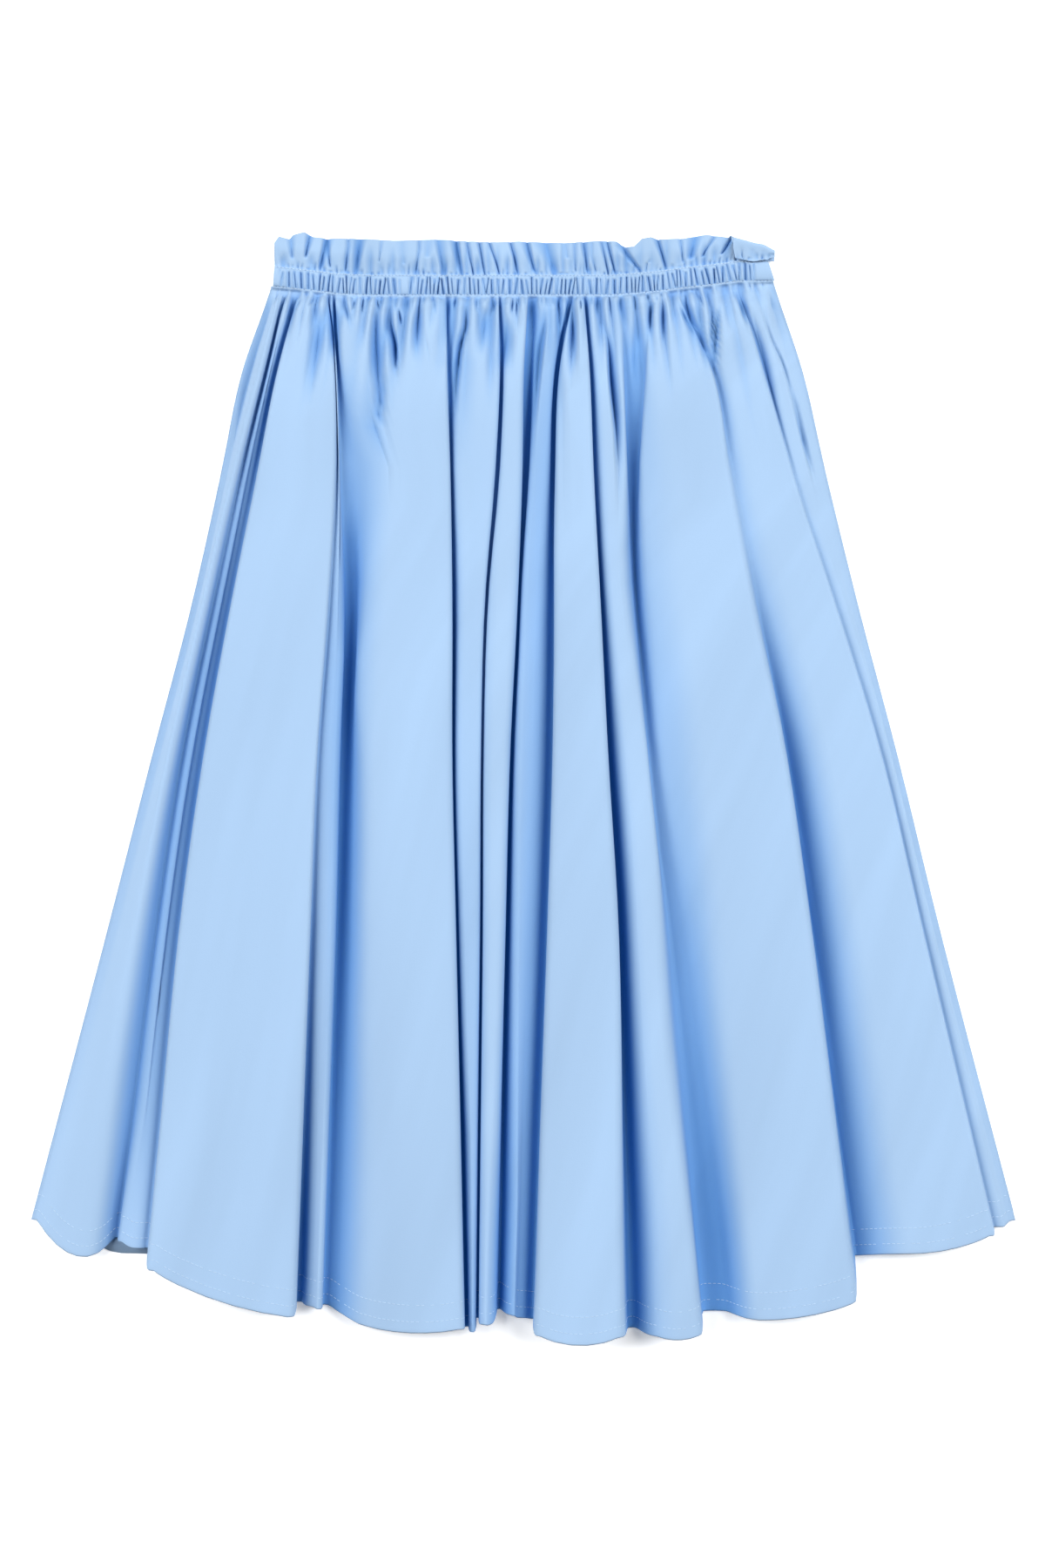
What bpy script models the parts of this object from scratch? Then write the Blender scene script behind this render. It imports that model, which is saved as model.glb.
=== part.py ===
"""A gathered midi skirt in cotton, laid flat: two body panels, an elastic casing and a frilled heading.

The garment lies on its back. X runs across it, +Y runs up to the waist and +Z points out of the front.
Z is 0 at the surface it lies on, and the origin is below the middle of its outline.
"""

import math
from collections import namedtuple

import bpy

MM = 0.001

# Cloth and seams, in millimetres.
WALL = 1.5
SEAM_GAP = 0.3
FRONT_REST = WALL + SEAM_GAP

# Heights across the garment, measured up from its middle.
WAIST_Y = 336.3
CASING_DEEP = 13.5

# Drop below the waist seam of the heights at which the folds were measured.
EDGE_DROPS = (6, 54, 120, 216, 317, 432, 588)
DEPTH_DROPS = (6, 120, 317, 650)

# Each row is a place where one panel of the front ends and the next begins, from left to right.
# edge: where the left panel ends, at EDGE_DROPS. gap: the width to where the right panel starts.
# left, floor, right: heights of the left panel, of the cloth between and of the right panel.
# gap, left, floor and right are at DEPTH_DROPS. lean: how far each side slopes into the gap, or, if
# negative, is tucked under, as left side at the waist and hem, then right side at the waist and hem.
# hem: drop of the left panel's hem at its end, and of the right panel's hem at its start.
Fold = namedtuple("Fold", "name edge gap left floor right lean hem")
FOLDS = (
    Fold("a_b", (-167, -178, -194, -215, -235.5, -253, -272.5), (2, 4, 5, 4), (4, 10, 15, 15), (3, 3, 3, 3),
         (3.6, 7, 9, 12), (-2, 3, 2, -1), (660, 649)),
    Fold("b_c", (-160, -172, -185, -204, -222, -238, -253), (3, 4, 4, 4), (3.6, 7, 7, 9), (3, 3, 3, 3),
         (5, 14, 20, 20), (2, 3, -2, -3), (654, 668)),
    Fold("c_d", (-134, -129, -128, -133, -140.5, -145, -151), (1, 2, 2, 4), (5, 18, 28, 31), (3.6, 14, 18, 7),
         (4, 15, 22, 17), (1, -3, 1, 2), (698, 693)),
    Fold("d_e", (-130, -125, -121, -122, -126, -128.5, -134), (8, 24, 9, 14), (4, 14, 21, 19), (3, 3, 3, 3),
         (5, 15, 24, 22), (-1, -3, 3, 7), (694, 694)),
    Fold("e_f", (-53, -52, -50, -48.5, -48.5, -46, -42.5), (3, 3.6, 2.6, 2.6), (5, 19, 28, 30), (3, 5, 8, 8),
         (5, 17, 24, 22), (-1, -2, 0, 1), (708, 708.5)),
    Fold("f_g", (-17, -16, -19, -26.5, -29, -29.5, -31), (3, 3, 2.6, 2.6), (5, 17, 24, 21), (3, 5, 5, 6),
         (5, 17, 24, 24), (-0.5, -0.5, -1, -1), (710, 704)),
    Fold("g_h", (3, 0.5, -0.5, -4, -9, -12, -15.5), (9, 7, 3, 3), (5, 17, 24, 24), (3, 3, 3, 3),
         (5, 12, 17, 16), (-1, -2, 2, 2), (706, 697)),
    Fold("h_i", (23, 20, 17.5, 16, 14, 11, 5), (8, 4, 6, 6), (4, 12, 15, 13), (3, 3, 3, 3),
         (5, 19, 28, 31), (2, 3, -2, -3), (702, 711.5)),
    Fold("i_j", (42, 45.5, 48, 53, 58, 65, 68.5), (3, 3, 4, 9), (5, 21, 33, 37), (3, 3, 3, 3),
         (5, 17, 26, 25), (-1, -3, 1, 3), (711.5, 713)),
    Fold("j_k", (56, 59, 65.5, 77, 85, 98, 110), (12, 16, 6, 18), (5, 17, 26, 27), (3, 3, 9, 4),
         (5, 15, 18, 20), (-1, -3, 2, 8), (713, 698)),
    Fold("k_l", (109, 129.5, 141.5, 159, 179.5, 196, 215.5), (12, 9, 18, 25), (5, 16, 26, 26), (3, 4, 6, 5),
         (5, 13, 19, 19), (-1, -3, 5, 12), (690.5, 660.5)),
    Fold("l_m", (151, 165.5, 184, 215, 245.5, 272.5, 309.5), (4, 4, 4, 4), (5, 9, 14, 14), (3, 3, 3, 3),
         (4, 6, 8, 8), (-1, -3, 1, 2), (646, 640)),
)

# The outline of the body panels at EDGE_DROPS, and the drop of the hem at each side.
LEFT_OUTLINE = (-177.5, -194, -207.5, -229, -255.5, -285, -326)
RIGHT_OUTLINE = (177, 192.5, 207.5, 231, 257.5, 285.5, 326)
SIDE_HEM = (635.5, 636)
SIDE_REST = 3.0

# For each panel between folds: how much its middle stands above its ends at the hem, and how much
# lower its hem hangs there.
Panel = namedtuple("Panel", "name crown sag")
PANELS = (
    Panel("a", 4, 7), Panel("b", 1, 1), Panel("c", 2, 6), Panel("d", 0, 0), Panel("e", 5, 7),
    Panel("f", 0, 0), Panel("g", 2, 0), Panel("h", 1, 0), Panel("i", 3, 4), Panel("j", 3, 2),
    Panel("k", 2, 6), Panel("l", 2, 2), Panel("m", 1, 0),
)
PANEL_PLACES = (0.2, 0.4, 0.6, 0.8)

# Rows of the front panel, as parts of the way from the waist to the hem.
BODY_ROWS = (0, 0.03, 0.07, 0.12, 0.19, 0.28, 0.39, 0.52, 0.66, 0.8, 0.92, 1)

# Small gathers just under the casing, which fade into the folds.
GATHER_PITCH = 8.5
GATHER_RISE = 1.1
GATHER_FADE = 45.0

# The waist seam and the hidden back hem: drops at places across the garment.
SEAM_AT = (-171, -144, -128, -107, 0, 61, 91, 110, 128, 147, 172)
SEAM_DROP = (-6, -3, -1, 0, 0, 0, -2.5, -5, -7, -9.5, -10)
BACK_HEM_AT = (-337, -281, -255, -160, 0, 110, 225, 320, 337)
BACK_HEM_DROP = (634, 659, 659.4, 680, 692, 690, 655, 632, 630)
BACK_INSET = 1.0
BACK_COLUMNS = 24

# The casing: its ends at the upper and the lower stitch row, and its gathers.
CASING_LEFT = (-171, -172)
CASING_RIGHT = (168, 172.5)
CASING_GATHERS = 78
GATHER_STEPS = 4
CASING_THICK = 1.7
CASING_RISE = 0.9
CASING_PUFF = 0.6
SMOOTH_SPOTS = ((-171, 7), (-82, 5), (166, 9))

# The heading: troughs of its ruffles, and its top edge as heights above the waist seam's middle.
RUFFLES = (-171, -159.5, -147.5, -135.5, -120.5, -113.5, -98.5, -72.5, -57, -43, -36, -29, -21.5, -6.5,
           6, 20.5, 41.5, 59.5, 77.5, 95.5, 108.5, 118, 131.5, 146.5, 161.5, 172.5)
RUFFLE_STEPS = 5
RUFFLE_RISE = 2.6
FRILL_TOP_AT = (-171, -168, -150, -130, -89, -36, 28, 64, 71, 82, 110, 126, 146, 159, 172.5)
FRILL_TOP = (36, 40, 43, 39, 37.5, 36.5, 36, 36.5, 32.5, 38.5, 38.5, 41, 38.5, 35, 30)
FRILL_ROWS = (0, 0.35, 0.7, 1)
FLOP_START = 140.0
FLOP_LIFT = 3.5

CLOTH_COLOUR = (0.44, 0.65, 0.93, 1)
CLOTH_ROUGHNESS = 0.75


def smooth_curve(places, values, at):
    """The value at a place on a smooth curve through the given values, straight beyond its ends."""
    last = len(places) - 1
    if at <= places[0]:
        slope = (values[1] - values[0]) / (places[1] - places[0])
        return values[0] + slope * (at - places[0])
    if at >= places[last]:
        slope = (values[last] - values[last - 1]) / (places[last] - places[last - 1])
        return values[last] + slope * (at - places[last])
    i = max(k for k in range(last) if places[k] <= at)
    span = places[i + 1] - places[i]
    middle = (values[i + 1] - values[i]) / span
    before = (values[i] - values[i - 1]) / (places[i] - places[i - 1]) if i else middle
    after = (values[i + 2] - values[i + 1]) / (places[i + 2] - places[i + 1]) if i + 2 <= last else middle
    start_slope = (before + middle) / 2
    end_slope = (middle + after) / 2
    t = (at - places[i]) / span
    return (
        values[i] * (2 * t**3 - 3 * t**2 + 1)
        + values[i + 1] * (3 * t**2 - 2 * t**3)
        + span * (start_slope * (t**3 - 2 * t**2 + t) + end_slope * (t**3 - t**2))
    )


def straight(places, values, at):
    """The value at a place on straight runs between the given values, level beyond its ends."""
    at = min(max(at, places[0]), places[-1])
    i = max(k for k in range(len(places) - 1) if places[k] <= at)
    t = (at - places[i]) / (places[i + 1] - places[i])
    return values[i] + (values[i + 1] - values[i]) * t


def ease(t):
    t = min(max(t, 0), 1)
    return t * t * (3 - 2 * t)


def seam_drop(x):
    return straight(SEAM_AT, SEAM_DROP, x)


def drop_at(x_waist, hem, t):
    """How far below the waist a point lies, a part t of the way down to its hem."""
    top = seam_drop(x_waist)
    return top + (hem - top) * t


def fold_points(fold, t, room_left, room_right):
    """Section through one fold, t of the way down, as (x, drop, z) in the order of the cloth."""
    hem_left, hem_right = fold.hem
    x_waist = fold.edge[0]
    drop_left = drop_at(x_waist, hem_left, t)
    drop_right = drop_at(x_waist, hem_right, t)
    drop_floor = min(drop_left, drop_right) - 4 * t
    mean = (drop_left + drop_right) / 2
    gap = smooth_curve(DEPTH_DROPS, fold.gap, min(mean, DEPTH_DROPS[-1]))
    z_left, z_floor, z_right = (
        max(smooth_curve(DEPTH_DROPS, heights, min(mean, DEPTH_DROPS[-1])), FRONT_REST + WALL / 2)
        for heights in (fold.left, fold.floor, fold.right)
    )
    x_left = smooth_curve(EDGE_DROPS, fold.edge, drop_left)
    x_right = smooth_curve(EDGE_DROPS, fold.edge, drop_right) + gap
    deep_left = z_left - z_floor
    deep_right = z_right - z_floor
    lean_left = fold.lean[0] + (fold.lean[1] - fold.lean[0]) * t
    lean_right = fold.lean[2] + (fold.lean[3] - fold.lean[2]) * t
    lean_left = min(lean_left, gap * 0.45) * ease(deep_left / 6)
    lean_right = min(lean_right, gap * 0.45) * ease(deep_right / 6)
    round_left = min(1.2 + max(lean_left, 0), 0.4 * deep_left, room_left / 2.6)
    round_right = min(1.2 + max(lean_right, 0), 0.4 * deep_right, room_right / 2.6)
    floor_left = x_left - min(lean_left, 0) * -0.5 + gap * 0.3
    floor_right = x_right + min(lean_right, 0) * -0.5 - gap * 0.3
    return [
        (x_left - 2.2 * round_left, drop_left, z_left),
        (x_left - 0.5 * round_left, drop_left, z_left - 0.25 * round_left),
        (x_left, drop_left, z_left - round_left),
        (x_left + lean_left, (drop_left + drop_floor) / 2, z_floor + 0.4 * deep_left),
        (floor_left, drop_floor, z_floor),
        (floor_right, drop_floor, z_floor),
        (x_right - lean_right, (drop_right + drop_floor) / 2, z_floor + 0.4 * deep_right),
        (x_right, drop_right, z_right - round_right),
        (x_right + 0.5 * round_right, drop_right, z_right - 0.25 * round_right),
        (x_right + 2.2 * round_right, drop_right, z_right),
    ]


def side_points(outline, hem, outward, t):
    """Section through a side fold, where the front turns down to the back, from the outside in."""
    drop = drop_at(outline[0], hem, t)
    x = smooth_curve(EDGE_DROPS, outline, drop)
    return [(x - outward * inset, drop, SIDE_REST + rise) for inset, rise in ((0, 0), (1.2, 0.6), (4, 1.6))]


def body_section(t):
    """The middle of the front cloth, t of the way from waist to hem, as (x, drop, z) from left to right."""
    edges = [smooth_curve(EDGE_DROPS, fold.edge, drop_at(fold.edge[0], 680, t)) for fold in FOLDS]
    ends = [
        smooth_curve(EDGE_DROPS, LEFT_OUTLINE, drop_at(LEFT_OUTLINE[0], SIDE_HEM[0], t)),
        smooth_curve(EDGE_DROPS, RIGHT_OUTLINE, drop_at(RIGHT_OUTLINE[0], SIDE_HEM[1], t)),
    ]
    starts = [ends[0]] + [
        edge + smooth_curve(DEPTH_DROPS, fold.gap, min(680 * t, DEPTH_DROPS[-1])) for edge, fold in zip(edges, FOLDS)
    ]
    stops = edges + [ends[1]]
    rooms = [stop - start for start, stop in zip(starts, stops)]
    groups = [side_points(LEFT_OUTLINE, SIDE_HEM[0], -1, t)]
    groups += [fold_points(fold, t, rooms[i] / 2, rooms[i + 1] / 2) for i, fold in enumerate(FOLDS)]
    groups.append(side_points(RIGHT_OUTLINE, SIDE_HEM[1], 1, t)[::-1])
    points = list(groups[0])
    for panel, before, after in zip(PANELS, groups, groups[1:]):
        start, end = before[-1], after[0]
        for part in PANEL_PLACES:
            arch = 4 * part * (1 - part)
            x, drop, z = (a + (b - a) * part for a, b in zip(start, end))
            points.append((x, drop + panel.sag * arch * t, z + panel.crown * arch * ease(t * 2)))
        points += after
    return points


def even_out(points):
    """Rounds a section: each point moves a third of the way to the middle of its two neighbours."""
    inner = [
        tuple((before + 4 * here + after) / 6 for before, here, after in zip(*trio))
        for trio in zip(points, points[1:], points[2:])
    ]
    return [points[0]] + inner + [points[-1]]


def gathered(x, drop, z):
    """Adds the small gathers under the casing to a point's height."""
    fade = 1 - ease((drop - seam_drop(x)) / GATHER_FADE)
    return max(z + GATHER_RISE * fade * (1 + math.sin(2 * math.pi * x / GATHER_PITCH)), FRONT_REST + WALL / 2)


def offset_section(points, distance):
    """Moves a section of (x, y, z) points sideways within its own plane."""
    moved = []
    for i, (x, y, z) in enumerate(points):
        before, after = points[max(i - 1, 0)], points[min(i + 1, len(points) - 1)]
        along_x, along_z = after[0] - before[0], after[2] - before[2]
        length = math.hypot(along_x, along_z)
        moved.append((x - distance * along_z / length, y, z + distance * along_x / length))
    return moved


def wall(name, outer, inner, material):
    """Makes one closed wall from two grids of points: the outer face and the inner face."""
    rows, columns = len(outer), len(outer[0])
    points = [point for grid in (outer, inner) for row in grid for point in row]
    count = rows * columns

    def at(row, column, face=0):
        return face * count + row * columns + column

    faces = []
    for r in range(rows - 1):
        for c in range(columns - 1):
            faces.append((at(r, c), at(r + 1, c), at(r + 1, c + 1), at(r, c + 1)))
            faces.append((at(r, c, 1), at(r, c + 1, 1), at(r + 1, c + 1, 1), at(r + 1, c, 1)))
    for r in range(rows - 1):
        faces.append((at(r, 0), at(r, 0, 1), at(r + 1, 0, 1), at(r + 1, 0)))
        faces.append((at(r, columns - 1), at(r + 1, columns - 1), at(r + 1, columns - 1, 1), at(r, columns - 1, 1)))
    for c in range(columns - 1):
        faces.append((at(0, c), at(0, c + 1), at(0, c + 1, 1), at(0, c, 1)))
        faces.append((at(rows - 1, c), at(rows - 1, c, 1), at(rows - 1, c + 1, 1), at(rows - 1, c + 1)))
    mesh = bpy.data.meshes.new(name)
    mesh.from_pydata([tuple(value * MM for value in point) for point in points], [], faces)
    mesh.update()
    mesh.shade_smooth()
    mesh.materials.append(material)
    piece = bpy.data.objects.new(name, mesh)
    bpy.context.scene.collection.objects.link(piece)
    return piece


def cloth_material(name, shade):
    """The skirt's light blue cotton, a little lighter or darker from piece to piece."""
    material = bpy.data.materials.new(name)
    material.use_nodes = True
    surface = material.node_tree.nodes["Principled BSDF"]
    red, green, blue, alpha = CLOTH_COLOUR
    surface.inputs["Base Color"].default_value = (red * shade, green * shade, blue * shade, alpha)
    surface.inputs["Roughness"].default_value = CLOTH_ROUGHNESS
    surface.inputs["Metallic"].default_value = 0
    return material


def front_panel():
    top = even_out(body_section(0))
    to_seam = [seam_drop(x) - drop for x, drop, z in top]
    outer, inner = [], []
    for t in BODY_ROWS:
        middle = []
        for (x, drop, z), shift in zip(even_out(body_section(t)), to_seam):
            drop += shift * (1 - t)
            middle.append((x, WAIST_Y - SEAM_GAP / 2 - drop, gathered(x, drop, z)))
        outer.append(offset_section(middle, WALL / 2))
        inner.append(offset_section(middle, -WALL / 2))
    return wall("front_panel", outer, inner, cloth_material("front_cotton", 1))


def back_places(t):
    """Places across the back, t of the way down from the waist to the hem at its sides."""
    left_drop = drop_at(LEFT_OUTLINE[0], SIDE_HEM[0], t)
    right_drop = drop_at(RIGHT_OUTLINE[0], SIDE_HEM[1], t)
    left = smooth_curve(EDGE_DROPS, LEFT_OUTLINE, left_drop) + BACK_INSET
    right = smooth_curve(EDGE_DROPS, RIGHT_OUTLINE, right_drop) - BACK_INSET
    return [left + (right - left) * c / BACK_COLUMNS for c in range(BACK_COLUMNS + 1)]


def back_panel():
    """The back lies flat under the front, just inside its outline, and shows only at the hem."""
    rows = []
    for t in BODY_ROWS:
        hems = [straight(BACK_HEM_AT, BACK_HEM_DROP, x) for x in back_places(1)]
        drops = [drop_at(x, hem, t) for x, hem in zip(back_places(0), hems)]
        rows.append([(x, WAIST_Y - SEAM_GAP / 2 - drop) for x, drop in zip(back_places(t), drops)])
    top = [[(x, y, WALL) for x, y in row] for row in rows]
    bottom = [[(x, y, 0) for x, y in row] for row in rows]
    return wall("back_panel", top, bottom, cloth_material("back_cotton", 0.96))


def casing_calm(x):
    """0 in a spot where the casing is smooth, and 1 where it is gathered."""
    return min(ease(abs(x - middle) / half - 0.5) for middle, half in SMOOTH_SPOTS)


def casing_rows(places):
    """Three rows of (x, y) along the casing: its upper stitch row, its middle and its lower one."""
    rows = []
    for part in (0, 0.5, 1):
        left = CASING_LEFT[0] + (CASING_LEFT[1] - CASING_LEFT[0]) * part
        right = CASING_RIGHT[0] + (CASING_RIGHT[1] - CASING_RIGHT[0]) * part
        row = []
        for place in places:
            x = min(max(place, left), right)
            top = WAIST_Y - seam_drop(x) + CASING_DEEP - SEAM_GAP / 2
            bottom = WAIST_Y - seam_drop(x) + SEAM_GAP / 2
            row.append((x, top + (bottom - top) * part))
        rows.append(row)
    return rows


def waist_casing_front():
    outer, inner = [], []
    columns = CASING_GATHERS * GATHER_STEPS
    spread = [c / columns for c in range(columns + 1)]
    for part in (0, 0.5, 1):
        left = CASING_LEFT[0] + (CASING_LEFT[1] - CASING_LEFT[0]) * part
        right = CASING_RIGHT[0] + (CASING_RIGHT[1] - CASING_RIGHT[0]) * part
        row = casing_rows([left + (right - left) * share for share in spread])[int(part * 2)]
        puff = CASING_PUFF * 4 * part * (1 - part)
        raised = []
        for c, (x, y) in enumerate(row):
            wave = (1 - math.cos(2 * math.pi * c / GATHER_STEPS)) / 2
            raised.append((x, y, FRONT_REST + CASING_THICK + puff + CASING_RISE * wave * casing_calm(x)))
        outer.append(raised)
        inner.append([(x, y, FRONT_REST) for x, y in row])
    return wall("waist_casing_front", outer, inner, cloth_material("casing_cotton", 0.98))


def hidden_waist_places():
    """Places across the waist for the back pieces, which end just inside the front ones."""
    return [x for x in back_places(0) if CASING_LEFT[0] + BACK_INSET < x < CASING_RIGHT[0] - BACK_INSET]


def waist_casing_back():
    rows = casing_rows(hidden_waist_places())
    top = [[(x, y, WALL) for x, y in row] for row in rows]
    bottom = [[(x, y, 0) for x, y in row] for row in rows]
    return wall("waist_casing_back", top, bottom, cloth_material("casing_back_cotton", 0.94))


def ruffle_columns():
    """Places across the heading with the phase of the ruffles there, from 0 to 1 over each wave."""
    places = []
    for start, end in zip(RUFFLES, RUFFLES[1:]):
        places += [(start + (end - start) * k / RUFFLE_STEPS, k / RUFFLE_STEPS) for k in range(RUFFLE_STEPS)]
    return places + [(RUFFLES[-1], 1)]


def frill_front():
    outer, inner = [], []
    for part in FRILL_ROWS:
        middle = []
        for x, phase in ruffle_columns():
            base = WAIST_Y - seam_drop(x) + CASING_DEEP + SEAM_GAP / 2
            top = WAIST_Y + straight(FRILL_TOP_AT, FRILL_TOP, x)
            wave = (1 - math.cos(2 * math.pi * phase)) / 2
            flop = ease((x - FLOP_START) / (RUFFLES[-1] - FLOP_START)) * FLOP_LIFT * math.sin(math.pi * min(part, 0.9))
            z = FRONT_REST + WALL / 2 + 0.4 + (0.4 + 0.6 * part) * RUFFLE_RISE * wave + flop
            middle.append((x, base + (top - base) * part, z))
        outer.append(offset_section(middle, WALL / 2))
        inner.append(offset_section(middle, -WALL / 2))
    return wall("frill_front", outer[::-1], inner[::-1], cloth_material("frill_cotton", 1.03))


def frill_back():
    """The back of the heading lies flat behind the front one, a little lower so that it is hidden."""
    rows = []
    for part in (1, 0):
        row = []
        for x in hidden_waist_places():
            base = WAIST_Y - seam_drop(x) + CASING_DEEP + SEAM_GAP / 2
            top = WAIST_Y + straight(FRILL_TOP_AT, FRILL_TOP, x) - 2
            row.append((x, base + (top - base) * part))
        rows.append(row)
    top = [[(x, y, WALL) for x, y in row] for row in rows]
    bottom = [[(x, y, 0) for x, y in row] for row in rows]
    return wall("frill_back", top, bottom, cloth_material("frill_back_cotton", 0.94))


def main():
    for old in list(bpy.data.objects):
        bpy.data.objects.remove(old)
    back_panel()
    front_panel()
    waist_casing_back()
    waist_casing_front()
    frill_back()
    frill_front()


main()
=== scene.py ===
"""Looks of a gathered cotton midi skirt that lies flat, made over its solids.

Lengths in the tables are millimetres, heights are above the surface the skirt lies on, and a drop is
measured down from the waist seam.
"""

import math
from collections import namedtuple

import bpy
import numpy as np
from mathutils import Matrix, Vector


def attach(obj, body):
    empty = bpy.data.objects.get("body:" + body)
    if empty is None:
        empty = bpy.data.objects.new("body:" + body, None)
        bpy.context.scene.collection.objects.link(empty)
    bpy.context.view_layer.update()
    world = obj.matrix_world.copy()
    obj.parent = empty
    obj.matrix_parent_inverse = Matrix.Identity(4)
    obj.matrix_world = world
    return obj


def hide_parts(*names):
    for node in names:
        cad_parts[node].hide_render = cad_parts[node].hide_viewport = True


MM = 0.001

# The garment's main measures and the drops that the tables below are given at.
WAIST_Y = 336.3
CASING_DEEP = 13.5
CLOTH_THICK = 0.5
BACK_HEIGHT = 0.5
REST = 1.8
SEAM_HEIGHT = 5.0
UNDERCUT = 3.0
EDGE_DROPS = (6, 54, 120, 216, 317, 432, 588)
DEPTH_DROPS = (6, 120, 317, 650)
WIDTH_DROPS = (30, 75, 120, 190, 258, 338, 488, 650)

# Where one front panel ends and the next begins, from left to right, named for the two panels. edge:
# the left panel's edge at EDGE_DROPS. left, right: the panels' heights at DEPTH_DROPS. Both are near
# the solids' own but follow the real folds more closely. soft_left, soft_right: how far each panel
# curves down to the valley between them. floor, gap: the valley's height and width. These four are at
# WIDTH_DROPS. hem: the drop of the hem on the left panel, in the valley and on the right panel.
Fold = namedtuple("Fold", "name edge left right soft_left floor gap soft_right hem")
FOLDS = (
    Fold("a_b", (-167, -178, -194, -215, -235.5, -253, -272.5), (4, 10, 15, 15), (3.4, 5.6, 8, 13),
         (1, 2, 3, 5, 6.4, 8, 13, 15), (2.5, 3, 3.5, 3.5, 3, 3, 2.5, 2),
         (2, 1.8, 1.5, 2, 2, 2, 2, 1.5), (1, 1.5, 2, 3, 3.9, 5, 8, 1.5), (659.5, 648, 649.5)),
    Fold("b_c", (-160, -172, -185, -204, -222, -238, -253), (3, 3.6, 5, 13), (5, 14, 20, 20),
         (1.5, 3.8, 6, 4, 4.5, 5, 6, 5), (2, 2, 2, 2, 2, 3, 7, 11),
         (3, 3, 3, 3, 3, 3, 3, 3), (0, 0, 0, 0, 0, 0, 0, 0), (654, 654, 668.5)),
    Fold("c_d", (-134, -129, -128, -133, -140.5, -145, -151), (5, 18, 28, 31), (4, 15, 22, 17),
         (1.5, 1.8, 2, 2, 1.1, 0, 0, 0), (7, 11, 13, 17, 19, 20.5, 15, 2),
         (1, 1.2, 1.5, 1.5, 1.5, 1.5, 1.5, 3), (1, 1.5, 2, 4, 6.3, 9, 9, 11), (698.5, 692, 693)),
    Fold("d_e", (-131, -128.5, -126, -122.5, -125.4, -128.2, -133.8), (4, 14, 21, 19), (5, 15, 24, 22),
         (0, 0, 0, 4, 0, 0, 0, 0), (2, 8, 10, 3, 2, 2, 2, 2),
         (2, 2, 4, 7, 8, 5, 3, 4), (2, 9, 22, 10, 3, 12, 24, 36), (695, 694, 708)),
    Fold("e_f", (-53, -52, -50, -48.5, -48.5, -46, -42.5), (5, 19, 28, 30), (5, 17, 24, 22),
         (0, 0, 0, 0, 0, 0, 0, 1.5), (4, 7, 9, 9, 8, 7, 4, 3),
         (1.6, 1.6, 1.6, 1.6, 1.5, 1.4, 1.4, 2), (7, 5, 3, 4, 2.9, 1.5, 2, 5), (707, 709, 710)),
    Fold("f_g", (-17, -16, -19, -26.5, -29, -29.5, -31), (5, 17, 24, 21), (5, 17, 24, 24),
         (0, 0, 0, 0, 0, 0, 1, 1), (4, 7, 9, 11, 15, 15, 8, 3),
         (1.8, 2.4, 3, 2.2, 2, 1.8, 1.6, 1.4), (3, 1.5, 0, 0, 0.6, 1.2, 1.2, 1), (710, 703, 704.5)),
    Fold("g_h", (3, 0.5, -0.5, -4, -9, -12, -15.5), (5, 17, 24, 24), (5, 14, 22, 20),
         (0, 0, 0, 0, 0, 0, 1.5, 4), (3, 2.5, 2, 2, 2, 2, 2, 2),
         (5, 5.5, 4.5, 2, 2, 1.8, 1.8, 2.4), (4, 2, 0, 0.5, 1.5, 3, 5, 8), (705, 697, 699)),
    Fold("h_i", (30, 21.5, 18.8, 19.4, 18.2, 14.8, 9), (4, 13, 19, 16), (5, 19, 28, 31),
         (1, 1.2, 1.5, 6, 9.7, 14, 12, 10), (2, 2.5, 3, 5, 7, 8, 8, 7),
         (3, 3, 3, 1.6, 1.6, 1.6, 1.6, 2), (0, 0, 0, 0, 0, 0, 0, 2), (701, 703, 711.5)),
    Fold("i_j", (42, 45.5, 48, 53, 58, 65, 68.5), (5, 21, 33, 37), (5, 17, 26, 25),
         (0, 0, 0, 0, 0.5, 1, 1.5, 4), (4, 7, 9, 9, 8, 6, 4, 3),
         (2, 1.9, 1.8, 1.8, 2.1, 2.4, 3, 6), (3, 3.5, 4, 3, 4.4, 6, 7, 12), (711.5, 709.5, 712.5)),
    Fold("j_k", (68, 69, 71.5, 76.5, 85, 97, 111.5), (5, 17, 26, 27), (5, 15, 21, 22),
         (1, 1.5, 2, 6, 3.3, 0, 6, 2), (9, 8, 4, 3, 9, 16, 9, 2.5),
         (17, 12.5, 8, 3, 3.5, 4, 8, 17), (2, 1.8, 1.5, 6, 7, 8, 30, 20), (712, 698, 702)),
    Fold("k_l", (109, 129.5, 141.5, 159, 179.5, 196, 215.5), (5, 16, 26, 26), (5, 13, 19, 19),
         (0, 1.5, 3, 3, 1.6, 0, 0, 2), (7, 10, 11.5, 13, 9, 3.5, 3, 3),
         (3, 3, 3, 4, 3.5, 3, 3, 4), (4, 6, 8, 16, 22.4, 30, 28, 34), (690.5, 660, 657)),
    Fold("l_m", (151, 165.5, 184, 215, 245.5, 272.5, 309.5), (5, 9, 14, 14), (4, 6, 8, 8),
         (0, 0, 0, 0, 0, 0, 0, 0), (6.5, 7.2, 7.2, 7.2, 7.2, 7.2, 7.2, 7.2),
         (2, 2, 2, 2, 2, 2, 2, 2), (2, 2, 2, 3, 3.5, 4, 4, 4), (645.5, 640, 640)),
)
LEFT_OUTLINE = (-177.5, -194, -207.5, -229, -255.5, -285, -326)
RIGHT_OUTLINE = (177, 192.5, 207.5, 231, 257.5, 285.5, 326)
SIDE_HEM = (635.5, 636)
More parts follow.
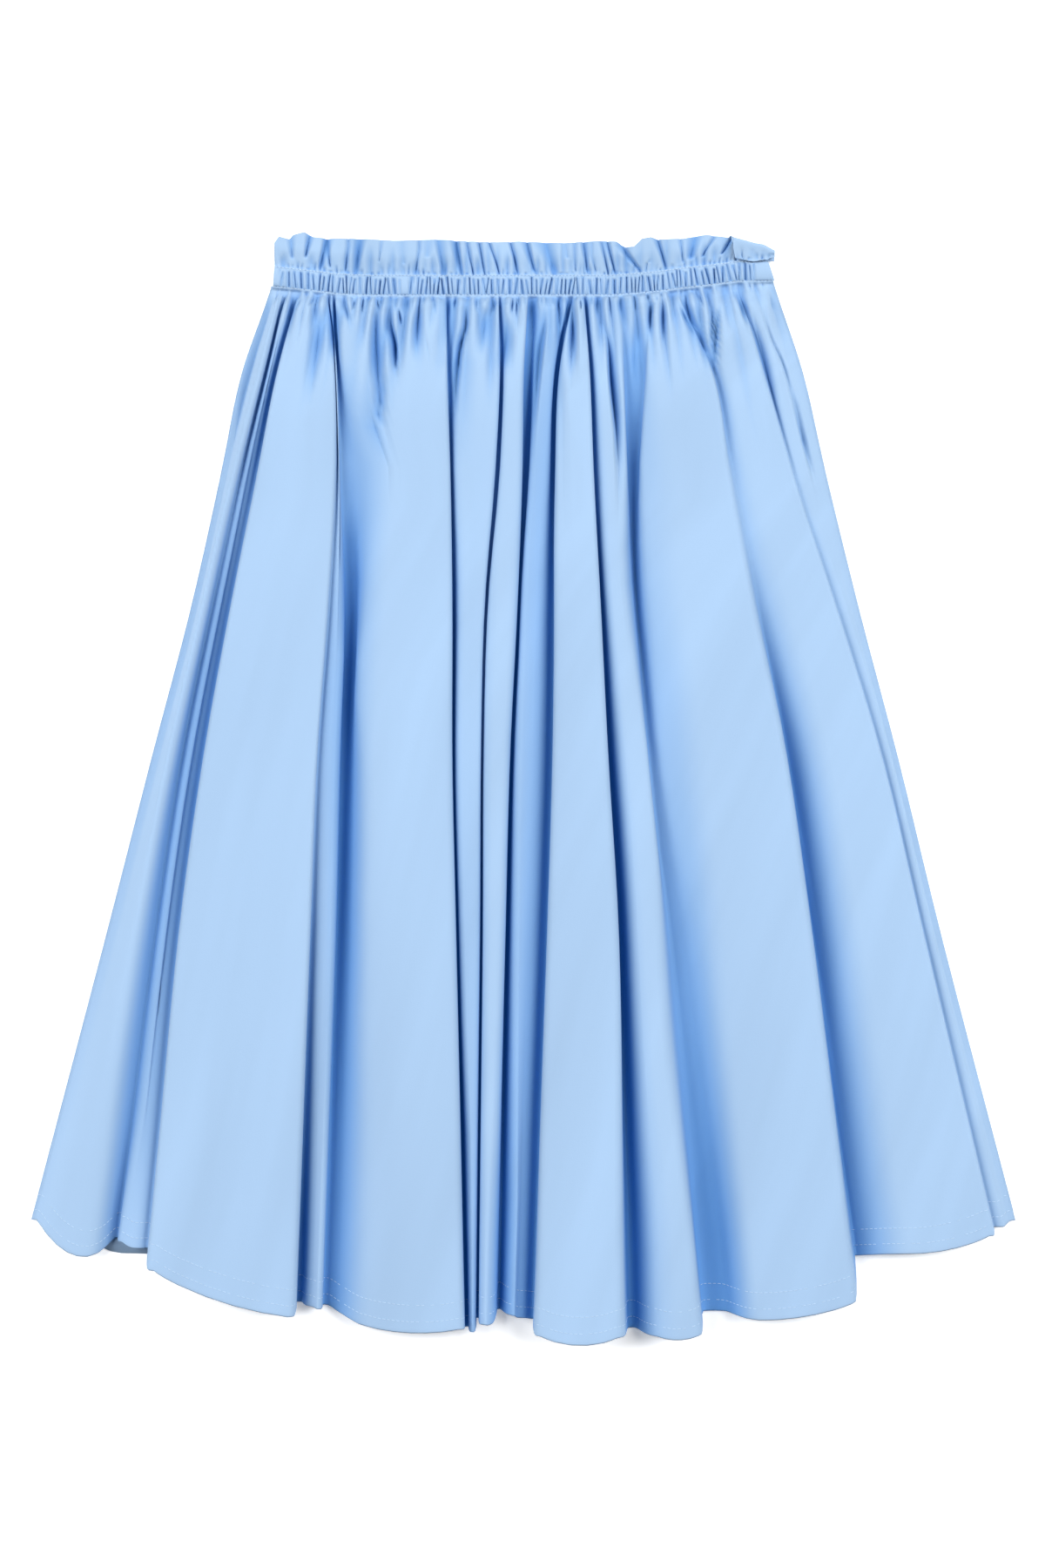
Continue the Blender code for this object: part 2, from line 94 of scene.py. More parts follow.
# How the front turns down to the back at its sides: how far in and how far up, from the outside in.
SIDE_REST = 3.0
SIDE_TURN = ((0, -0.6), (1.2, 0.6), (4, 1.6))
SIDE_COLUMNS = 2

# How much each panel's middle stands above its ends and its hem hangs below them, and its columns.
Panel = namedtuple("Panel", "name crown sag columns")
PANELS = (
    Panel("a", 2, 7, 24), Panel("b", 0, 1, 12), Panel("c", 2, 5, 56), Panel("d", 0, 0, 12),
    Panel("e", 4, 2, 90), Panel("f", 0, 0, 22), Panel("g", 1, 0, 24), Panel("h", 0, 0, 14),
    Panel("i", 2, 5.5, 36), Panel("j", 1, 2.5, 30), Panel("k", 2, 2.5, 80), Panel("l", 2, 3, 64),
    Panel("m", 0, 0, 24),
)
PANEL_PLACES = (0.2, 0.4, 0.6, 0.8)
FOLD_COLUMNS = 24

# The section through a fold. A share is of the room on half a panel, of the fold's depth or of its gap.
EDGE_ROUND = 0.9
CREST = 2.2
CREST_SHARE = 0.3
SOFT_SHARE = 0.7
SHOULDER_TURNS = (0.35, 0.8, 1.2)
SLOPE_POWER = 1.5
SLOPE_SOFT = (2, 8)
UNDERCUT_DEEP = (4, 16)
UNDERCUT_SOFT = 3
UNDERCUT_SHARE = 0.4
FOOT_SHARE = 0.15
FLOOR_SHARE = 0.3
LEAST_GAP = 1.2
LEAST_DEEP = 0.5

# How sharply creases and the valleys between gathers bend, and how deep the creases are.
CREASE_POWER = 1.5
RIDGE_POWER = 1.4
CREASE_DEEP = 1.1

# The waist seam's drop at places across the garment.
SEAM_AT = (-171, -144, -128, -107, 0, 61, 91, 110, 128, 147, 172)
SEAM_DROP = (-6, -3, -1, 0, 0, 0, -2.5, -5, -7, -9.5, -10)

# The casing and the frill above it, and the back's hem.
CASING_LEFT = (-171, -172)
CASING_RIGHT = (168, 172.5)
CASING_ROWS = 14
CASING_COLUMNS = 900
CASING_PUFF = 2.2
CASING_SLANT = -0.16
CASING_SLANT_AT = (60, 120)
CASING_LATE = 0.2
CASING_SHARP = 13
CASING_WIDEST = 0.45
SMOOTH_SPOTS = ((-170, 3), (-82, 2.5), (165, 6))
FRILL_TOP_AT = (-171, -168, -161, -158, -150.5, -144, -134, -112, -89, -58, -36, -18, -3, 28, 53, 64, 70, 76,
                81.5, 87.5, 92.5, 110, 117, 126, 146, 159, 165, 172.5)
FRILL_TOP = (35.5, 40, 38, 41, 43, 39.5, 38.5, 38.5, 37, 38, 36.5, 36, 36.5, 35.5, 37, 36.5, 32.5, 33,
             38.5, 39.5, 38, 38.5, 40, 41, 38.5, 35, 34, 30)
FRILL_ROWS = 34
FRILL_COLUMNS = 640
FRILL_HEIGHT = 7.6
FRILL_RISE = 15
BACK_HEM_AT = (-337, -281, -255, -160, 0, 110, 225, 320, 337)
BACK_HEM_DROP = (634, 659, 659.4, 680, 692, 690, 655, 632, 630)
BACK_COLUMNS = 90
BACK_ROWS = 70
BACK_INSET = 1
BACK_CREASE_HIGH = 0.1
BACK_CREASES = 190

# The back of the casing and of the frill.
BACK_WAIST = (-170, 167)
BACK_WAIST_COLUMNS = 160
BACK_WAIST_ROWS = 6
BACK_WAIST_INSET = 2
BACK_WAIST_WAVE = 0.12
BACK_WAIST_WAVES = 1.7

# The frill's folds: from (x, drop) near the stitches to (x, drop) at the top, half widths, depth.
Ruffle = namedtuple("Ruffle", "x low top_x high left right deep")
RUFFLES = (
    Ruffle(-159, -22, -160, -37, 2, 2, 2), Ruffle(-149.6, -24, -146.4, -40, 1.5, 2, 3.5),
    Ruffle(-140, -18, -135, -39, 1.2, 3, 4), Ruffle(-132.8, -19, -134.4, -35, 2, 1, 2.5),
    Ruffle(-122.4, -17, -120.6, -30, 1.2, 1.2, 2.5), Ruffle(-115.2, -16, -111.6, -38.5, 3, 2, 4),
    Ruffle(-99, -24, -97.4, -37, 1, 1, 1.2), Ruffle(-74, -16, -72, -28.5, 1, 1, 2),
    Ruffle(-55.4, -15, -58.6, -37, 1.5, 3, 3), Ruffle(-42, -15.5, -46.2, -38, 2.6, 1.2, 4.5),
    Ruffle(-34.4, -15, -37.8, -31, 1, 1.2, 3), Ruffle(-26.4, -14, -30.6, -37, 1.2, 1.2, 3.5),
    Ruffle(-17, -17, -23.6, -36.5, 1, 1, 3), Ruffle(-4, -16, -9, -36, 1, 1.4, 3.5),
    Ruffle(8, -17, 3.3, -34, 2.4, 1, 4), Ruffle(21.6, -16, 15.4, -35, 4, 3.5, 3.5),
    Ruffle(36, -17, 35.4, -28.5, 1.2, 1.2, 2), Ruffle(43.8, -17, 41.4, -35.5, 1.3, 2, 4),
    Ruffle(49.8, -17, 47.4, -25, 1, 1, 1.5), Ruffle(58.2, -16, 54, -35, 1.2, 1.2, 3),
    Ruffle(63, -16, 58.2, -35, 1.5, 1, 4), Ruffle(79.8, -16.4, 69.6, -30, 2.2, 1.2, 3.5),
    Ruffle(97.6, -18, 91.8, -38, 2, 1, 4), Ruffle(109.6, -19, 108, -33, 1.2, 1.2, 2),
    Ruffle(115.2, -21, 118.5, -36, 3.5, 3, 3.5), Ruffle(123.3, -21, 129.6, -30, 1.2, 1.2, 2.5),
    Ruffle(136.8, -21, 144, -30, 1.5, 1.5, 3.5), Ruffle(-66, -27, -65, -38, 3, 3, 1),
    Ruffle(30, -26, 29, -36, 2, 2, 1.2), Ruffle(-82, -22, -83, -30, 2, 2, 0.8),
)
RUFFLE_DEEP = 1.25
# How far past its ends a ruffle reaches, how sharply it begins, and how it widens and fades upward.
RUFFLE_PAST = 0.2
RUFFLE_SHARP = 4
RUFFLE_WIDE = 1.2
RUFFLE_WIDEN = 1.4
RUFFLE_FADE = 0.3
FRILL_THICK = 0.6
# The rolled right end: where it starts, where up the frill its ruffles end, and its turned-over flap.
ROLL_FROM = 141.0
ROLL_RAMP = 5.0
ROLL_RADIUS = 1.8
ROLL_CALM = (0.5, 0.75)
FLAP_AT = (147, 158, 167, 172.5)
FLAP = (12, 11, 7.5, 2)

# Creases and soft ridges, listed one by one. path: (x, drop) points from the top down. left and right:
# how far each side of the path the slope reaches. deep: how far down it goes, or up if negative.
# peak: the part of the way down the path where it is deepest.
Crease = namedtuple("Crease", "path left right deep peak")
CREASES = (
    Crease(((-177, 6), (-187, 43), (-193.5, 72), (-198, 104)), 3.5, 4.5, 9, 0.45),
    Crease(((-152, 0), (-157, 14)), 2, 2, 3, 0.4),
    Crease(((-144, 0), (-148, 11)), 2, 2, 3, 0.4),
    Crease(((-139, 2), (-140.5, 25), (-143, 50), (-148, 84)), 7, 7, 6, 0.4),
    Crease(((-133, 0), (-130.5, 20), (-129, 50)), 6, 6, 7, 0.5),
    Crease(((-122.4, 0), (-120, 22)), 3, 3, 7, 0.5),
    Crease(((-115.5, 2), (-118, 12)), 2, 2, 3, 0.4),
    Crease(((-110, 0), (-111, 15)), 2, 2, 3, 0.4),
    Crease(((-90, 48), (-97, 72), (-101, 92), (-108, 122)), 10, 5, 5, 0.5),
    Crease(((-104, 1), (-101.5, 17), (-101, 37), (-98.5, 72), (-96.5, 105)), 6, 7, 8, 0.4),
    Crease(((-101, 3), (-98.4, 12)), 2, 1.5, 3, 0.4),
    Crease(((-91, 3), (-90.5, 19), (-87.6, 35), (-87.6, 58)), 6, 2.2, 11, 0.6),
    Crease(((-86, 8), (-83.5, 24)), 2.5, 2, 5, 0.5),
    Crease(((-79, 1), (-79, 14)), 1.8, 1.8, 2.5, 0.4),
    Crease(((-71, 3), (-72.6, 21), (-73, 52)), 7, 7, 4.5, 0.4),
    Crease(((-68, 26), (-63, 52)), 2, 2, 1, 0.5),
    Crease(((-61, 1), (-60.5, 16)), 2, 2, 3, 0.4),
    Crease(((-47, 1), (-47.5, 12)), 2, 2, 3, 0.4),
    Crease(((-41.7, 2), (-39.3, 20), (-42.6, 34), (-45.6, 61), (-47.4, 92)), 5, 3, 10, 0.4),
    Crease(((-33, 1), (-32, 14)), 2, 2, 3, 0.4),
    Crease(((-24.6, 4), (-27, 21), (-29.6, 48)), 7, 7, 7, 0.4),
    Crease(((-19, 2), (-20.4, 14)), 2, 2, 4, 0.4),
    Crease(((-7.2, 2), (-9, 16)), 2, 2, 3, 0.4),
    Crease(((-4.8, 2), (-4.8, 17)), 1.6, 1.6, 3, 0.4),
    Crease(((-11, 10), (-12.5, 35), (-14, 58)), 7, 9, 7, 0.5),
    Crease(((14.4, 2), (14.4, 20), (11.8, 41), (9, 68), (3.6, 125)), 8, 3, 8, 0.3),
    Crease(((24, 1), (23.5, 14)), 2, 2, 3, 0.4),
    Crease(((33.4, 3), (33.8, 21), (33, 37), (32.4, 70)), 6, 6, 6, 0.4),
    Crease(((39, 1), (39.5, 14)), 1.8, 1.8, 3, 0.4),
    Crease(((50, 1), (50.5, 18)), 2.4, 2.4, 4, 0.4),
    Crease(((58.8, 3), (55.8, 18), (58.2, 33), (60.2, 61), (64, 100), (66, 140)), 3, 7, 12, 0.45),
    Crease(((66, 1), (65.5, 15)), 2, 2, 3, 0.4),
    Crease(((77, 14), (76, 45), (78, 70)), 3, 4, 3.5, 0.5),
    Crease(((85.6, 0), (88, 5), (87.6, 17), (88, 32)), 3, 2, 7, 0.4),
    Crease(((92.4, 0), (89.4, 9)), 1.6, 1.6, 3, 0.4),
    Crease(((96.6, 0), (96, 16), (95.4, 40)), 4.5, 4.5, 5, 0.4),
    Crease(((106.4, 2), (109.6, 13), (117.6, 30)), 3, 3, 5, 0.5),
    Crease(((113, 8), (121, 34), (128, 56)), 4, 4, 2.5, 0.5),
    Crease(((121, -4), (124, 12)), 2, 2, 4, 0.4),
    Crease(((130.6, 3), (128, 42)), 2.5, 2, 5, 0.5),
    Crease(((136.8, -3), (133.8, 17), (130.6, 60)), 6, 2.5, 8, 0.6),
    Crease(((146, -6), (149, 8), (154, 24)), 2, 5, 5, 0.5),
    Crease(((155, -6), (159.5, 21), (166, 46), (177, 96)), 6, 7, 6, 0.5),
    Crease(((165, -6), (166, 13), (170, 29), (179, 49), (188, 90)), 2.5, 2.5, 3, 0.5),
    Crease(((184, 60), (188, 80), (192.6, 100), (199, 124)), 3, 4, 7, 0.6),
    Crease(((170.7, -5), (171.6, 13)), 2, 2, 3, 0.5),
)

# Rows of the front cloth: their drops near the waist, their spacing below, and distances from the hem.
NEAR_DROPS = (0, 0.7, 1.4, 2.2, 3.2, 4.5, 6, 7.5, 9, 11, 13, 15, 17.5, 20, 23, 26, 30, 34, 38, 43, 48,
              54, 60, 67, 75, 84, 94)
FAR_ROWS = 22
LONGEST_DROP = 717.0
HEM_FROM = (27, 22, 20, 19, 18, 13, 9, 7.6, 6.2, 3, 0.7, 0)
STITCH_ROWS = (19.0, 7.6)
TURN_UP = (1, 8, 19)
TURN_DROP = 0.8
CLEARANCE = 0.1

# How the gathered cloth stands up under the waist: how much, how much of that in the valleys, and the
# drops over which it rises and falls. How the cloth leaves the seam, and how softly it meets its rest.
WAIST_PUFF = 8.0
PUFF_BELOW = 0.4
PUFF_RISE = (-5, 9)
PUFF_FALL = (150, 60)
SEAM_BLEND = 2.8
REST_BEND = 1.6

# Rows of gathers: rounded ridges that meet in valleys. seed: of the uneven places. closest, furthest:
# apart. short, long: how far the valleys reach. low, high: how deep they are. lean: aside per mm down.
Gathers = namedtuple("Gathers", "seed closest furthest short long low high lean")
SEAM_GATHERS = (Gathers(5, 2.8, 6.4, 4, 24, 1.5, 3.6, 0.06), Gathers(8, 6, 12, 30, 100, 1.5, 5.0, 0.09),
                Gathers(14, 9, 20, 70, 170, 0.6, 2.8, 0.09))
FRILL_GATHERS = (Gathers(23, 2.2, 5.2, 2.5, 11, 0.6, 2.4, 0.5), Gathers(31, 5, 10, 12, 34, 0.3, 2.2, 0.12))
CASING_GATHERS = (Gathers(11, 2.0, 5.2, 0, 0, 1.6, 3.6, 0.22), Gathers(12, 1.3, 3.0, 0, 0, 0.3, 1.0, 0.1))
SEAM_SPAN = (-174, 175)
CASING_SPAN = (-171, 171)
SEAM_FAN = 1 / 900
GATHERS_BEGIN = 1.1
GATHERS_END = 1.5
GATHERS_WIDEST = 0.6
LEAN_REACH = 40

# Rows of stitches of thread: from one stitch to the next, a stitch's length and thickness, and the
# share of stitches that sink out of sight.
Stitch = namedtuple("Stitch", "pitch long thick skip")
CASING_STITCH = Stitch(2.4, 1.9, 0.45, 0.0)
HEM_STITCH = Stitch(3.4, 2.6, 0.35, 0.1)
STITCH_SHAPE = ((0, 0.3), (0.2, 1), (0.8, 1), (1, 0.3))
STITCH_SIDES = 6
STITCH_SINK = 0.2
LEAST_LENGTH = 1e-6
THREAD_COLOUR = (0.45, 0.59, 0.74, 1)
THREAD_ROUGHNESS = 0.6

# The cloth's colour on its ridges, and the painted shade deep in its folds, which stands in for the dim bluer
# light that reaches there only from other cloth.
RIDGE_COLOUR = (0.305, 0.447, 0.64, 1)
FOLD_SHADE_COLOUR = (0.075, 0.245, 0.56, 1)
# A painted glow in the cloth where folds lie close, standing in for light through the thin cloth; it grows
# with a power of their depth.
PAINTED_GLOW_COLOUR = (0.0, 0.013, 0.05, 1)
PAINTED_GLOW_POWER = 2
# Depth is measured below the ridges within RIDGE_REACH, smoothed over LEVEL_SPREAD. A fold is well on
# the way to its deepest painted shade FOLD_DEEP below them, given at two drops.
RIDGE_REACH = 30
LEVEL_SPREAD = 14
FOLD_DEEP_AT = (20, 170)
FOLD_DEEP = (4.5, 9.0)
WAIST_FOLD_DEEP = 2.6
COTTON_ROUGHNESS = 0.75
COTTON_SHINE = 0.3
# Faint streaks down the cloth, partly painted sheen and partly uneven tone, as scales for each metre of it,
# and their shades.
STREAKS = (22, 2.2, 1)
STREAK_DETAIL = 3
SHEEN_STREAK_SHADES = (0.86, 1.10)

# The weave: uneven threads that cross, as scales for each metre of cloth, and how far they stand out,
# in metres.
WEAVE = ((260, 2600, 1), (2600, 260, 1))
WEAVE_DETAIL = 1
WEAVE_RELIEF = 0.00008
WEAVE_STRENGTH = 0.5
# Where the waist's pieces and the back begin on the pattern of streaks and weave.
PATTERN_ACROSS = 400
PATTERN_DOWN = 100

# The studio: camera, lights and floor, in metres where no name says otherwise.
PICTURE = (1200, 1800)
MM_PER_PIXEL = 0.6
OUTLINE_MIDDLE = (601, 900.5)
CAMERA_HEIGHT = 2.4
SENSOR = 36.0
FLOOR_SIZE = 8.0
FLOOR_COLOUR = (0.97, 0.97, 0.97, 1)
FLOOR_ROUGHNESS = 0.9
FLOOR_GLOW = 0.3
WHITE = (1, 1, 1, 1)
WORLD_STRENGTH = 0.07
Light = namedtuple("Light", "name place size power")
LIGHTS = (
    Light("left", (-3.6, 1.2, 3.9), (2.0, 4.5), 312),
    Light("right", (3.6, 1.2, 3.9), (2.0, 4.5), 324),
    Light("head", (0, 3.8, 3.6), (3.5, 1.8), 17),
)


def smooth_curve(places, values, at):
    """Values at places on a smooth curve through the given points, straight beyond its ends."""
    places, values = np.asarray(places, float), np.asarray(values, float)
    at = np.asarray(at, float)
    spans = np.diff(places)
    chords = np.diff(values) / spans
    slopes = np.concatenate([[chords[0]], (chords[:-1] + chords[1:]) / 2, [chords[-1]]])
    i = np.clip(np.searchsorted(places, at, side="right") - 1, 0, len(spans) - 1)
    t = (at - places[i]) / spans[i]
    inside = (
        values[i] * (2 * t**3 - 3 * t**2 + 1)
        + values[i + 1] * (3 * t**2 - 2 * t**3)
        + spans[i] * (slopes[i] * (t**3 - 2 * t**2 + t) + slopes[i + 1] * (t**3 - t**2))
    )
    before = values[0] + chords[0] * (at - places[0])
    after = values[-1] + chords[-1] * (at - places[-1])
    return np.where(at <= places[0], before, np.where(at >= places[-1], after, inside))


def ease(t):
    """From 0 to 1 with soft ends."""
    t = np.clip(t, 0, 1)
    return t * t * (3 - 2 * t)


def ramp(value, start, end):
    """From 0 at start to 1 at end, with soft ends."""
    return ease((value - start) / (end - start))


def above_rest(z):
    """Heights that bend softly where they would sink below the cloth's rest."""
    return REST + np.logaddexp((z - REST) * REST_BEND, 0) / REST_BEND


def seam_drop(x):
    """The waist seam's drop at x."""
    return np.interp(x, SEAM_AT, SEAM_DROP)


def drop_at(x_waist, hem, t):
    """The drop t of the way from the waist seam at x_waist to the hem."""
    top = seam_drop(x_waist)
    return top + (hem - top) * t


def waist_puff(drop):
    """How much more the gathered cloth stands up just under the waist."""
    return WAIST_PUFF * float(ramp(drop, *PUFF_RISE) * ramp(drop, *PUFF_FALL))


def at_drop(places, values, drop, least):
    """The value at a drop on the smooth curve through a table, or least if that is more."""
    return max(float(smooth_curve(places, values, drop)), least)


def fold_points(fold, t, room_left, room_right):
    """Section through one fold, t of the way down, as (x, drop, z) in the order of the cloth."""
    drop_left = drop_at(fold.edge[0], fold.hem[0], t)
    drop_floor = drop_at(fold.edge[0], fold.hem[1], t)
    drop_right = drop_at(fold.edge[0], fold.hem[2], t)
    mean = min((drop_left + drop_right) / 2, DEPTH_DROPS[-1])
    gap = at_drop(WIDTH_DROPS, fold.gap, mean, LEAST_GAP)
    z_floor = at_drop(WIDTH_DROPS, fold.floor, mean, REST) + PUFF_BELOW * waist_puff(mean)
    x_left = float(smooth_curve(EDGE_DROPS, fold.edge, drop_left))
    x_right = float(smooth_curve(EDGE_DROPS, fold.edge, drop_right) + gap)
    sides = []
    for x, drop, heights, softs, room, outward in (
        (x_left, drop_left, fold.left, fold.soft_left, room_left, -1),
        (x_right, drop_right, fold.right, fold.soft_right, room_right, 1),
    ):
        z = max(at_drop(DEPTH_DROPS, heights, mean, REST) + waist_puff(mean), z_floor + LEAST_DEEP)
        soft = min(max(at_drop(WIDTH_DROPS, softs, mean, 0), EDGE_ROUND), room * SOFT_SHARE)
        deep = z - z_floor
        under = UNDERCUT * float(ramp(deep, *UNDERCUT_DEEP)) * max(1 - soft / UNDERCUT_SOFT, 0)
        under = min(under, room * UNDERCUT_SHARE)
        crest = min(EDGE_ROUND * CREST, room * CREST_SHARE)
        slope = min(max((soft - SLOPE_SOFT[0]) / (SLOPE_SOFT[1] - SLOPE_SOFT[0]), 0), 1)
        points = [(x + outward * (soft + crest), drop, z)]
        for turn in SHOULDER_TURNS:
            reach = soft * (1 - math.sin(turn))
            even = 1 - (1 - reach / soft) ** SLOPE_POWER
            part = math.cos(turn) + (even - math.cos(turn)) * slope
            drop_part = drop_floor + (drop - drop_floor) * part
            points.append((x + outward * reach, drop_part, z_floor + deep * part))
        points.append((x + outward * under, drop_floor, z_floor + FOOT_SHARE * deep))
        points.append((x + outward * (under - gap * FLOOR_SHARE), drop_floor, z_floor))
        sides.append(points)
    return sides[0] + sides[1][::-1]


def side_points(outline, hem, outward, t):
    """Section through a side fold, where the front turns down to the back, from the outside in."""
    drop = drop_at(outline[0], hem, t)
    x = float(smooth_curve(EDGE_DROPS, outline, drop))
    return [(x - outward * inset, drop, SIDE_REST + lift) for inset, lift in SIDE_TURN]


def outline_ends(t):
    """x of the left and of the right outline, t of the way down."""
    return [
        float(smooth_curve(EDGE_DROPS, outline, drop_at(outline[0], hem, t)))
        for outline, hem in zip((LEFT_OUTLINE, RIGHT_OUTLINE), SIDE_HEM)
    ]


def section_groups(t):
    """The front's section t of the way down, as groups of (x, drop, z): side, panel, fold and so on."""
    edges, gaps = [], []
    for fold in FOLDS:
        drop = drop_at(fold.edge[0], (fold.hem[0] + fold.hem[2]) / 2, t)
        edges.append(float(smooth_curve(EDGE_DROPS, fold.edge, drop)))
        gaps.append(at_drop(WIDTH_DROPS, fold.gap, min(drop, DEPTH_DROPS[-1]), LEAST_GAP))
    ends = outline_ends(t)
    starts = [ends[0]] + [edge + gap for edge, gap in zip(edges, gaps)]
    rooms = [stop - start for start, stop in zip(starts, edges + [ends[1]])]
    turns = [side_points(LEFT_OUTLINE, SIDE_HEM[0], -1, t)]
    turns += [fold_points(fold, t, rooms[i] / 2, rooms[i + 1] / 2) for i, fold in enumerate(FOLDS)]
    turns.append(side_points(RIGHT_OUTLINE, SIDE_HEM[1], 1, t)[::-1])
    groups = [turns[0]]
    for panel, before, after in zip(PANELS, turns, turns[1:]):
        start, end = before[-1], after[0]
        middle = []
        for part in PANEL_PLACES:
            arch = 4 * part * (1 - part)
            x, drop, z = (a + (b - a) * part for a, b in zip(start, end))
            middle.append((x, drop + panel.sag * arch * t, z + panel.crown * arch * float(ease(t * 2))))
        groups += [middle, after]
    return groups


def rounded_section(t):
    """The section as a smooth curve, resampled so that each group keeps its own count of columns."""
    groups = section_groups(t)
    points = np.array([point for group in groups for point in group])
    padded = np.vstack([2 * points[0] - points[1], points, 2 * points[-1] - points[-2]])
    steps = 6
    u = np.arange(steps) / steps
    weights = np.stack([(1 - u) ** 3, 3 * u**3 - 6 * u**2 + 4, -3 * u**3 + 3 * u**2 + 3 * u + 1, u**3], 1) / 6
    windows = np.stack([padded[:-3], padded[1:-2], padded[2:-1], padded[3:]], 1)
    fine = np.einsum("sw,nwc->nsc", weights, windows)
    fine[..., 1] = windows[:, 1:2, 1] * (1 - u) + windows[:, 2:3, 1] * u
    fine = fine.reshape(-1, 3)
    fine = np.vstack([fine, points[-1]])
    lengths = np.concatenate([[0], np.cumsum(np.linalg.norm(np.diff(fine[:, [0, 2]], axis=0), axis=1))])
    marks, first = [0], 0
    counts = [SIDE_COLUMNS] + [n for panel in PANELS for n in (panel.columns, FOLD_COLUMNS)]
    counts[-1] = SIDE_COLUMNS
    for group in groups[:-1]:
        first += len(group)
        marks.append(min(int((first - 0.5) * steps), len(fine) - 1))
    marks.append(len(fine) - 1)
    wanted = []
    for start, end, count in zip(marks, marks[1:], counts):
        wanted.append(np.linspace(lengths[start], lengths[end], count, endpoint=False))
    wanted = np.concatenate(wanted + [[lengths[-1]]])
    return np.stack([np.interp(wanted, lengths, fine[:, k]) for k in range(3)], 1), wanted


def crease_depth(crease, x, drop):
    """How far a crease lowers the cloth at each point."""
    path = np.array(crease.path, float)
    at = smooth_curve(path[:, 1], path[:, 0], drop)
    along = np.clip((drop - path[0, 1]) / (path[-1, 1] - path[0, 1]), 0, 1)
    rise = np.where(along < crease.peak, along / crease.peak, (1 - along) / (1 - crease.peak))
    side = np.where(x < at, (at - x) / crease.left, (x - at) / crease.right)
    return CREASE_DEEP * crease.deep * ease(rise) * np.clip(1 - side, 0, 1) ** CREASE_POWER


def ridges(x, places, depths, widest):
    """Depth at each x under rounded ridges that meet in sharp valleys at the given places."""
    order = np.argsort(places)
    middles = (places[order][1:] + places[order][:-1]) / 2
    starts = np.maximum(np.concatenate([[-np.inf], middles]), places[order] - widest)
    ends = np.minimum(np.concatenate([middles, [np.inf]]), places[order] + widest)
    total = np.zeros_like(x)
    for i, start, end in zip(order, starts, ends):
        at = places[i]
        side = np.where(x < at, (at - x) / (at - start), (x - at) / (end - at))
        total += depths[i] * np.clip(1 - side, 0, 1) ** RIDGE_POWER
    return total


def uneven(kind, start, end):
    """Uneven places between start and end, each with three random shares of its own."""
    rng = np.random.default_rng(kind.seed)
    found = [(start, 0.5, 0.5, 0.5)]
    while found[-1][0] < end:
        found.append((found[-1][0] + rng.uniform(kind.closest, kind.furthest), *rng.uniform(0, 1, 3)))
    return np.array(found).T


def gathers_depth(kinds, x, away, fan):
    """Depth of the gathers at each x, away from the stitches that gather them."""
    depth = np.zeros_like(x)
    mean = float(away.mean())
    for kind in kinds:
        place, reach, deep, lean = uneven(kind, *SEAM_SPAN)
        reach = kind.short + (kind.long - kind.short) * reach**2
        place = place * (1 + mean * fan) + (lean - 0.5) * kind.lean * min(mean, LEAN_REACH)
        fade = [ease(away / GATHERS_BEGIN) * ease((1 - away / far) * GATHERS_END) for far in reach]
        deep = kind.low + (kind.high - kind.low) * deep
        depth += ridges(x, place, [d * f for d, f in zip(deep, fade)], kind.furthest * GATHERS_WIDEST)
    return depth


def front_grid():
    """Points of the front cloth, row by row from the seam to the hem, and their places on the cloth."""
    shares = [drop / LONGEST_DROP for drop in NEAR_DROPS]
    last = 1 - HEM_FROM[0] / LONGEST_DROP
    shares += list(np.linspace(shares[-1], last, FAR_ROWS + 1)[1:-1])
    shares += [1 - distance / LONGEST_DROP for distance in HEM_FROM]
    top, _ = rounded_section(0)
    to_seam = seam_drop(top[:, 0]) - top[:, 1]
    rows, places = [], []
    for t in shares:
        points, along = rounded_section(t)
        x, drop, z = points.T.copy()
        drop = drop + to_seam * (1 - t)
        from_seam = drop - seam_drop(x)
        for crease in CREASES:
            z = z - crease_depth(crease, x, drop)
        z = z - gathers_depth(SEAM_GATHERS, x, from_seam, SEAM_FAN)
        z = above_rest(SEAM_HEIGHT + (z - SEAM_HEIGHT) * ease(from_seam / SEAM_BLEND))
        rows.append(np.stack([x, WAIST_Y - drop, z], 1))
        places.append(along)
    for distance in TURN_UP:
        share = distance / (LONGEST_DROP * (1 - shares[-len(HEM_FROM)]))
        inside = np.array(rows[len(shares) - 1]) * (1 - share)
        inside += np.array(rows[len(shares) - len(HEM_FROM)]) * share
        inside[:, 2] -= TURN_DROP
        inside[:, 2] = np.maximum(inside[:, 2], BACK_HEIGHT + CLOTH_THICK + CLEARANCE)
        rows.append(inside)
        places.append(places[len(shares) - 1])
    downs = np.concatenate([np.array(shares) * LONGEST_DROP, LONGEST_DROP + np.array(TURN_UP)])
    return np.array(rows), np.array(places), downs


def fold_depths(grid, row_deeps):
    """From 0 on the ridges to 1 deep in the folds, for each point of a grid with rows across the garment: the
    mask for the painted fold shade and glow.
    """
    even = np.arange(grid[..., 0].min(), grid[..., 0].max() + 1, 1.0)
    spread = np.hanning(2 * LEVEL_SPREAD + 3)[1:-1]
    spread /= spread.sum()
    depths = []
    for row, deep in zip(grid, row_deeps):
        order = np.argsort(row[:, 0])
        height = np.interp(even, row[order, 0], row[order, 2])
        padded = np.pad(height, RIDGE_REACH, mode="edge")
        highest = np.lib.stride_tricks.sliding_window_view(padded, RIDGE_REACH + 1).max(1)
        level = np.minimum(highest[:len(even)], highest[-len(even):])
        level = np.convolve(np.pad(level, LEVEL_SPREAD, mode="edge"), spread, mode="valid")
        below = np.interp(row[:, 0], even, level) - row[:, 2]
        depths.append(1 - np.exp(-np.maximum(below, 0) / deep))
    return np.array(depths)


